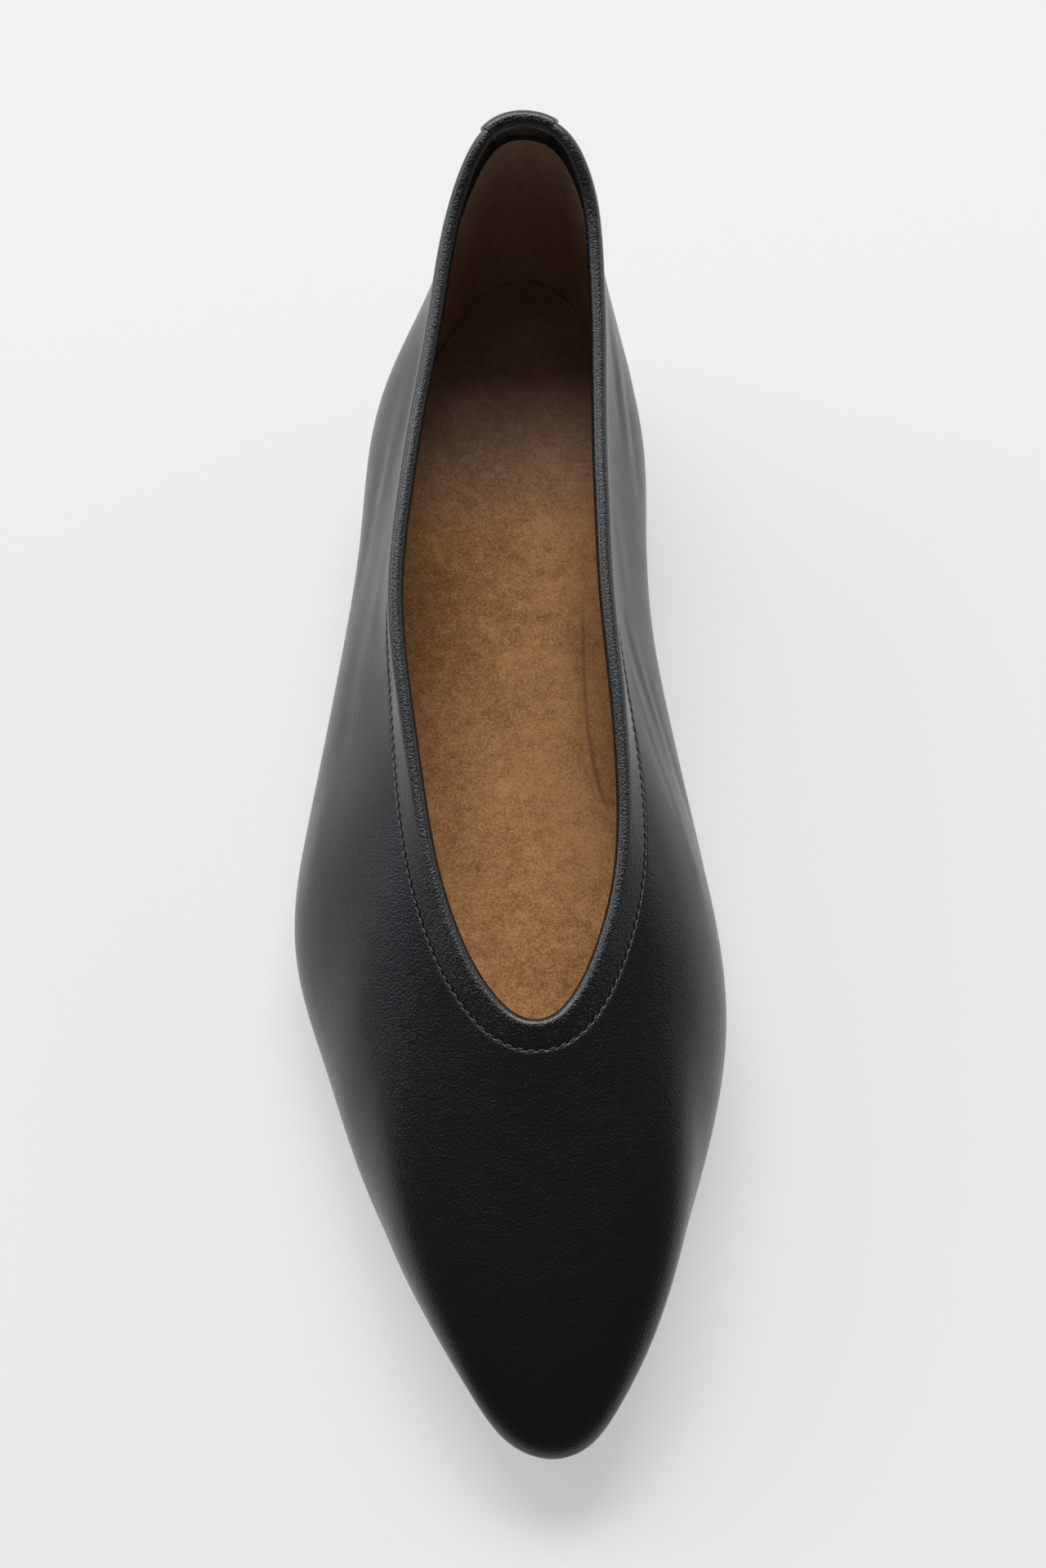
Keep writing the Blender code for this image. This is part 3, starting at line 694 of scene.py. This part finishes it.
def arch_line(x, y):
    """Shares, 0 to 1, of the line pressed at the arch and of the suede raised beyond it."""
    run = (y - ARCH_LINE_BACK) / (ARCH_LINE_FRONT - ARCH_LINE_BACK)
    line_x = ARCH_LINE_X + ARCH_LINE_BOW * np.clip(run, 0, 1) ** ARCH_LINE_BOW_POWER
    fade = blend(run / ARCH_LINE_FADE_BACK) * blend((1 - run) / ARCH_LINE_FADE_FRONT)
    beyond = x - line_x
    return fade * bump(beyond, ARCH_LINE_WIDTH), fade * blend(beyond / ARCH_RAISE_WIDTH)


def footbed_height(x, y, from_edge):
    """Height of the footbed: slightly cupped at its edge, with a pressed line at the arch."""
    cup = INSOLE_LIP * (1 - blend(from_edge / (INSOLE_BOWL / 2)))
    cup += INSOLE_FILLET * np.clip(1 - from_edge / (2 * INSOLE_FILLET), 0, 1) ** 2
    pressed, beyond = arch_line(x, y)
    lowered = ARCH_LINE_DEPTH * pressed - ARCH_RAISE * beyond
    return seat_height(y) + INSOLE_THICKNESS + cup - lowered


def make_insole(material):
    """The suede footbed, with a value at each point that says how much painted shade it has."""
    edge = -(LEATHER + CLEARANCE / 2 + RIM_IN_LINING * LINING)
    bm = lay_grid(footprint(edge, 12, 181, footbed_height))
    face_outwards(bm, (0.0, -0.08, -1.0))
    insole = add_piece("footbed", bm, material, "tan_suede", "insole")
    painted_shade = insole.data.attributes.new("painted_shade", "FLOAT", "POINT")
    places = np.array([vert.co for vert in insole.data.vertices])
    ring = Feather(places_round(per_rib=6)).ring(edge, np.zeros_like)
    from_edge = np.array([np.hypot(*(ring[:, :2] - place[:2]).T).min() for place in places])
    # Painted shade: a soft band along the edge, where the walls shade the footbed, and the line
    # pressed at the arch
    edge_shade = EDGE_SHADE * blend(1 - from_edge / EDGE_SHADE_WIDTH)
    line_shade = ARCH_LINE_SHADE * arch_line(places[:, 0], places[:, 1])[0]
    painted_shade.data.foreach_set("value", np.maximum(line_shade, edge_shade))
    thicken(insole, INSOLE_THICKNESS)


def make_outsole(material):
    """The thin sole with its rounded edge."""

    def top_height(x, y, from_edge):
        return sole_bottom(y) + SOLE_THICKNESS

    bm = lay_grid(footprint(-SOLE_INSET, 12, 41, top_height))
    face_outwards(bm, (0.0, -0.08, -1.0))
    outsole = add_piece("sole", bm, material, "black_rubber", "outsole")
    thicken(outsole, SOLE_THICKNESS)
    round_edges(outsole, SOLE_EDGE_ROUND)


def place_key(vert):
    """A vertex's place, rounded so that the copy made by an extrusion has the same key."""
    return tuple(round(value, 7) for value in vert.co)


def make_heel(material):
    """The low heel block, with the line of its top lift."""
    places = places_round(per_rib=12)
    feather = Feather(places)
    half = places <= LAST_RIB
    breast_y = ORIGIN_FROM_BACK - HEEL_BREAST * SOLE_LENGTH
    reach = np.interp(-breast_y, -feather.y[half], places[half])
    rear = Feather(np.linspace(-reach, reach, 90))

    def outline(offset, height):
        back = rear.ring(offset, lambda y: np.full_like(y, height))
        across = np.linspace(0, 1, 30)[1:-1, None]
        breast = back[-1] + (back[0] - back[-1]) * across
        breast[:, 1] += BREAST_CURVE * 4 * (across * (1 - across))[:, 0]
        return np.concatenate([back, breast])

    foot = -HEEL_INSET - HEEL_TAPER
    groove = foot + GROOVE_SHARE * HEEL_TAPER
    top = HEEL_HEIGHT - CLEARANCE
    # Offset and height of each ring, from the ground up
    levels = [
        (foot - HEEL_BEVEL, 0.0),
        (foot - 0.3 * HEEL_BEVEL, 0.12 * HEEL_BEVEL),
        (foot, HEEL_BEVEL),
        (groove, TOP_LIFT - GROOVE_HALF),
        (groove - GROOVE_DEPTH, TOP_LIFT),
        (foot + 0.6 * HEEL_TAPER, TOP_LIFT + GROOVE_HALF),
        (foot + HEEL_TAPER, top - HEEL_TOP_EASE),
        (foot + HEEL_TAPER - HEEL_TOP_EASE, top),
    ]
    rings = [outline(*level) for level in levels]
    bm = bmesh.new()
    bmesh.ops.create_circle(bm, segments=len(rings[0]), radius=1.0, cap_ends=True)
    bm.verts.ensure_lookup_table()
    for vert, point in zip(bm.verts, rings[0]):
        vert.co = point
    face = bm.faces[:][0]
    for level, ring in enumerate(rings[1:]):
        order = {place_key(vert): k for k, vert in enumerate(face.verts)}
        grown = bmesh.ops.extrude_face_region(bm, geom=[face])["geom"]
        # Only the first face stays, as the underside
        if level > 0:
            bmesh.ops.delete(bm, geom=[face], context="FACES_ONLY")
        face = next(item for item in grown if isinstance(item, bmesh.types.BMFace))
        for vert in face.verts:
            vert.co = ring[order[place_key(vert)]]
    bmesh.ops.recalc_face_normals(bm, faces=bm.faces)
    add_piece("heel_block", bm, material, "black_rubber", "heel")


def group_socket(group, name, direction, kind, default=None):
    """Adds a named input or output to a node group."""
    socket = group.interface.new_socket(name=name, in_out=direction, socket_type=kind)
    if default is not None:
        socket.default_value = default


class Nodes:
    """Short ways to add and link the nodes of one tree."""

    def __init__(self, tree):
        self.tree = tree

    def add(self, kind, inputs=None, **settings):
        node = self.tree.nodes.new(kind)
        for name, value in settings.items():
            setattr(node, name, value)
        for name, value in (inputs or {}).items():
            if isinstance(value, bpy.types.NodeSocket):
                self.tree.links.new(value, node.inputs[name])
            else:
                node.inputs[name].default_value = value
        return node

    def math(self, operation, first, second):
        return self.add("ShaderNodeMath", {0: first, 1: second}, operation=operation).outputs[0]

    def mapped(self, value, from_low, from_high, to_low, to_high):
        inputs = {0: value, 1: from_low, 2: from_high, 3: to_low, 4: to_high}
        return self.add("ShaderNodeMapRange", inputs).outputs[0]

    def between(self, share, first, second):
        """The colour that lies a share of the way from the first to the second."""
        mix = self.add("ShaderNodeMix", {"Factor": share}, data_type="RGBA")
        for name, value in (("A", first), ("B", second)):
            if isinstance(value, bpy.types.NodeSocket):
                self.tree.links.new(value, mix.inputs[SOCKET_OF_COLOUR[name]])
            else:
                mix.inputs[SOCKET_OF_COLOUR[name]].default_value = (*value, 1.0)
        return mix.outputs[RESULT_COLOUR]

    def noise(self, vector, scale, detail, roughness):
        inputs = {"Vector": vector, "Scale": scale, "Detail": detail, "Roughness": roughness}
        return self.add("ShaderNodeTexNoise", inputs).outputs["Fac"]


def leather_grain_group():
    """Height and tone of soft smooth leather: fine pebbles, pores and slow unevenness."""
    group = bpy.data.node_groups.new("leather_grain", "ShaderNodeTree")
    group_socket(group, "Vector", "INPUT", "NodeSocketVector")
    group_socket(group, "Cells per metre", "INPUT", "NodeSocketFloat", 1500.0)
    group_socket(group, "Fine share", "INPUT", "NodeSocketFloat", 0.35)
    group_socket(group, "Height", "OUTPUT", "NodeSocketFloat")
    group_socket(group, "Tone", "OUTPUT", "NodeSocketFloat")
    n = Nodes(group)
    start = n.add("NodeGroupInput")
    vector, cells = start.outputs["Vector"], start.outputs["Cells per metre"]
    wobble = n.add("ShaderNodeTexNoise", {"Vector": vector, "Scale": 420.0, "Detail": 1.0})
    shift = n.add("ShaderNodeVectorMath", {0: wobble.outputs["Color"]}, operation="SCALE")
    shift.inputs["Scale"].default_value = 0.0009
    bent = n.add("ShaderNodeVectorMath", {0: vector, 1: shift.outputs[0]}, operation="ADD")
    pebbles = n.add(
        "ShaderNodeTexVoronoi",
        {"Vector": bent.outputs[0], "Scale": cells, "Smoothness": 0.6},
        feature="SMOOTH_F1",
    )
    domes = n.mapped(pebbles.outputs["Distance"], 0.0, 0.75, 1.0, 0.0)
    fine = n.noise(vector, scale=5200.0, detail=2.0, roughness=0.6)
    slow = n.noise(vector, scale=170.0, detail=3.0, roughness=0.55)
    fine_part = n.math("MULTIPLY", fine, start.outputs["Fine share"])
    height = n.math("ADD", n.math("ADD", domes, fine_part), n.math("MULTIPLY", slow, 0.5))
    tone = n.math("ADD", n.math("MULTIPLY", slow, 0.7), n.math("MULTIPLY", domes, 0.3))
    n.add("NodeGroupOutput", {"Height": height, "Tone": tone})
    return group


def suede_nap_group():
    """Height and tone of suede: brushed mottles of several sizes over a short nap."""
    group = bpy.data.node_groups.new("suede_nap", "ShaderNodeTree")
    group_socket(group, "Vector", "INPUT", "NodeSocketVector")
    group_socket(group, "Mottles per metre", "INPUT", "NodeSocketFloat", 260.0)
    group_socket(group, "Height", "OUTPUT", "NodeSocketFloat")
    group_socket(group, "Tone", "OUTPUT", "NodeSocketFloat")
    n = Nodes(group)
    start = n.add("NodeGroupInput")
    vector, mottles = start.outputs["Vector"], start.outputs["Mottles per metre"]
    broad = n.noise(vector, scale=38.0, detail=2.0, roughness=0.5)
    mottle = n.noise(vector, scale=mottles, detail=3.0, roughness=0.62)
    speck = n.noise(vector, scale=2300.0, detail=3.0, roughness=0.75)
    nap = n.noise(vector, scale=5200.0, detail=1.0, roughness=0.5)
    tone = n.math("ADD", n.math("MULTIPLY", broad, 0.26), n.math("MULTIPLY", mottle, 0.22))
    tone = n.math("ADD", tone, n.math("MULTIPLY", speck, 0.52))
    height = n.math("ADD", n.math("MULTIPLY", speck, 0.6), n.math("MULTIPLY", nap, 0.4))
    n.add("NodeGroupOutput", {"Height": height, "Tone": tone})
    return group


def new_material(name, **sockets):
    """A material and its Principled shader, with constants set on the shader's own sockets."""
    material = bpy.data.materials.new(name)
    material.use_nodes = True
    shader = material.node_tree.nodes["Principled BSDF"]
    for socket, value in sockets.items():
        shader.inputs[socket.replace("_", " ")].default_value = value
    return material, shader, Nodes(material.node_tree)


def finish_surface(n, shader, group, settings, colours, roughness, relief, tones=(0.30, 0.70)):
    """Feeds a group's tone and height to a shader's colour, roughness and bump."""
    place = n.add("ShaderNodeTexCoord").outputs["Object"]
    pattern = n.add("ShaderNodeGroup", node_tree=group)
    n.tree.links.new(place, pattern.inputs["Vector"])
    for name, value in settings.items():
        pattern.inputs[name].default_value = value
    tone = n.mapped(pattern.outputs["Tone"], *tones, 0.0, 1.0)
    colour = n.between(tone, *colours)
    n.tree.links.new(colour, shader.inputs["Base Color"])
    rough = n.mapped(tone, 0.0, 1.0, *roughness)
    n.tree.links.new(rough, shader.inputs["Roughness"])
    bumps = n.add(
        "ShaderNodeBump",
        {"Strength": 1.0, "Distance": relief, "Height": pattern.outputs["Height"]},
    )
    n.tree.links.new(bumps.outputs["Normal"], shader.inputs["Normal"])
    return tone, colour


def shade_footbed(n, shader, tone, colour):
    """Paints shade on the suede: greyer at the heel, and darker along the arch's line and the edge.
    """
    place = n.add("ShaderNodeTexCoord").outputs["Object"]
    parts = n.add("ShaderNodeSeparateXYZ", {"Vector": place})
    # Painted shade: greyer suede towards the heel, where the back of the collar shades it
    heel_shade_share = n.mapped(parts.outputs["Y"], *SHADED_HEEL_FROM_TO, 0.0, 1.0)
    colour = n.between(heel_shade_share, colour, n.between(tone, *SHADED_HEEL_SUEDE))
    # Painted shade along the edge and the arch's line, by the value stored on the mesh
    painted_shade = n.add("ShaderNodeAttribute", attribute_name="painted_shade").outputs["Fac"]
    colour = n.between(painted_shade, colour, DARK_SUEDE)
    n.tree.links.new(colour, shader.inputs["Base Color"])


def make_materials():
    grain = leather_grain_group()
    nap = suede_nap_group()
    made = {}
    material, shader, n = new_material("soft black leather", Coat_Weight=0.22, Coat_Roughness=0.22)
    finish_surface(
        n, shader, grain, {"Cells per metre": 2600.0, "Fine share": 0.45},
        colours=[(0.0026, 0.0027, 0.0030), (0.0046, 0.0048, 0.0052)],
        roughness=(0.35, 0.28), relief=0.052 * MM,
    )
    made["leather"] = material
    material, shader, n = new_material("black binding leather", Coat_Weight=0.55, Coat_Roughness=0.20)
    finish_surface(
        n, shader, grain, {"Cells per metre": 2400.0, "Fine share": 0.6},
        colours=[(0.0030, 0.0031, 0.0034), (0.0055, 0.0057, 0.0062)],
        roughness=(0.34, 0.26), relief=0.105 * MM,
    )
    made["binding"] = material
    material, shader, n = new_material("matt facing leather", Specular_IOR_Level=0.2)
    finish_surface(
        n, shader, grain, {"Cells per metre": 1700.0, "Fine share": 0.5},
        colours=[(0.0090, 0.0092, 0.0098), (0.0130, 0.0133, 0.0142)],
        roughness=(0.62, 0.54), relief=0.05 * MM,
    )
    made["facing"] = material
    material, shader, n = new_material("tan suede", Specular_IOR_Level=0.2, Sheen_Weight=0.1)
    tone, colour = finish_surface(
        n, shader, nap, {"Mottles per metre": 420.0},
        colours=FOOTBED_SUEDE, roughness=(0.98, 0.90), relief=0.20 * MM, tones=(0.41, 0.59),
    )
    shade_footbed(n, shader, tone, colour)
    made["suede"] = material
    # The lining's greyer, darker suede is painted shade inside the walls
    material, shader, n = new_material("suede lining with painted shade", Specular_IOR_Level=0.15)
    finish_surface(
        n, shader, nap, {"Mottles per metre": 330.0},
        colours=SHADED_LINING_SUEDE, roughness=(0.98, 0.92), relief=0.12 * MM, tones=(0.38, 0.62),
    )
    made["lining"] = material
    material, shader, n = new_material("black sole rubber", Specular_IOR_Level=0.4)
    finish_surface(
        n, shader, grain, {"Cells per metre": 900.0, "Fine share": 0.8},
        colours=[(0.012, 0.012, 0.013), (0.020, 0.020, 0.021)],
        roughness=(0.68, 0.56), relief=0.05 * MM,
    )
    made["rubber"] = material
    material, shader, n = new_material("black thread", Specular_IOR_Level=0.5)
    twist = n.add("ShaderNodeTexCoord").outputs["Object"]
    strands = n.noise(twist, scale=2600.0, detail=1.0, roughness=0.5)
    # Grey strands on the black thread: painted glints
    n.tree.links.new(n.between(strands, *PAINTED_GLINT_THREAD_COLOURS), shader.inputs["Base Color"])
    n.tree.links.new(n.mapped(strands, 0.0, 1.0, 0.35, 0.55), shader.inputs["Roughness"])
    made["thread"] = material
    return made


def make_camera():
    camera = bpy.data.cameras.new("camera")
    camera.sensor_fit = "VERTICAL"
    camera.sensor_height = CAMERA_LONG_SIDE
    camera.lens = CAMERA_LENS
    camera.clip_start = 0.01
    holder = bpy.data.objects.new("camera", camera)
    holder.location = CAMERA_PLACE
    aim = Vector(CAMERA_AIM) - Vector(CAMERA_PLACE)
    holder.rotation_euler = aim.to_track_quat("-Z", "Y").to_euler()
    bpy.context.scene.collection.objects.link(holder)
    bpy.context.scene.camera = holder


def make_floor():
    """A pale floor that glows a little, which keeps the shadows on it soft."""
    bm = bmesh.new()
    bmesh.ops.create_grid(bm, x_segments=1, y_segments=1, size=3.0)
    mesh = bpy.data.meshes.new("floor")
    bm.to_mesh(mesh)
    bm.free()
    material, shader, _ = new_material("pale studio floor", Roughness=0.9, Specular_IOR_Level=0.1)
    shader.inputs["Base Color"].default_value = (*FLOOR_COLOUR, 1.0)
    shader.inputs["Emission Color"].default_value = (*FLOOR_GLOW, 1.0)
    shader.inputs["Emission Strength"].default_value = FLOOR_GLOW_STRENGTH
    mesh.materials.append(material)
    floor = bpy.data.objects.new("floor", mesh)
    bpy.context.scene.collection.objects.link(floor)


def area_light(name, place, aim, size, power, colour=(1.0, 1.0, 1.0)):
    light = bpy.data.lights.new(name, "AREA")
    light.shape = "RECTANGLE"
    light.size, light.size_y = size
    light.energy = power
    light.color = colour
    holder = bpy.data.objects.new(name, light)
    holder.location = place
    holder.rotation_euler = (Vector(aim) - Vector(place)).to_track_quat("-Z", "Y").to_euler()
    bpy.context.scene.collection.objects.link(holder)


def make_light():
    """A big soft box high behind the heel, two low ones beside it, and a dim room around."""
    aim = (0.0, -0.10, 0.0)
    area_light("back_softbox", (-0.20, 2.50, 3.10), aim, (3.4, 2.0), 128.0)
    area_light("back_left_softbox", (-2.80, 2.20, 1.90), aim, (2.6, 1.5), 42.0, (0.82, 0.91, 1.0))
    area_light("back_right_softbox", (2.80, 2.20, 1.50), aim, (2.6, 1.3), 13.0, (0.84, 0.92, 1.0))
    world = bpy.data.worlds.new("studio")
    world.use_nodes = True
    bpy.context.scene.world = world
    n = Nodes(world.node_tree)
    background = world.node_tree.nodes["Background"]
    direction = n.add("ShaderNodeTexCoord").outputs["Generated"]
    parts = n.add("ShaderNodeSeparateXYZ", {"Vector": direction})
    low = n.mapped(parts.outputs["Z"], 0.0, 0.45, 1.0, 0.0)
    low = n.math("MULTIPLY", low, n.mapped(parts.outputs["Y"], -0.9, 0.2, 0.35, 1.0))
    n.tree.links.new(n.between(low, ROOM_HIGH, ROOM_LOW), background.inputs["Color"])
    bpy.context.scene.view_settings.view_transform = "Standard"


make_camera()
make_floor()
make_light()
materials = make_materials()
make_upper(materials["leather"])
make_lining(materials["lining"])
make_binding(materials["binding"])
make_stitches(materials["thread"])
make_tab(materials["binding"])
make_facing(materials["facing"])
make_insole(materials["suede"])
make_outsole(materials["rubber"])
make_heel(materials["rubber"])

bpy.context.view_layer.update()
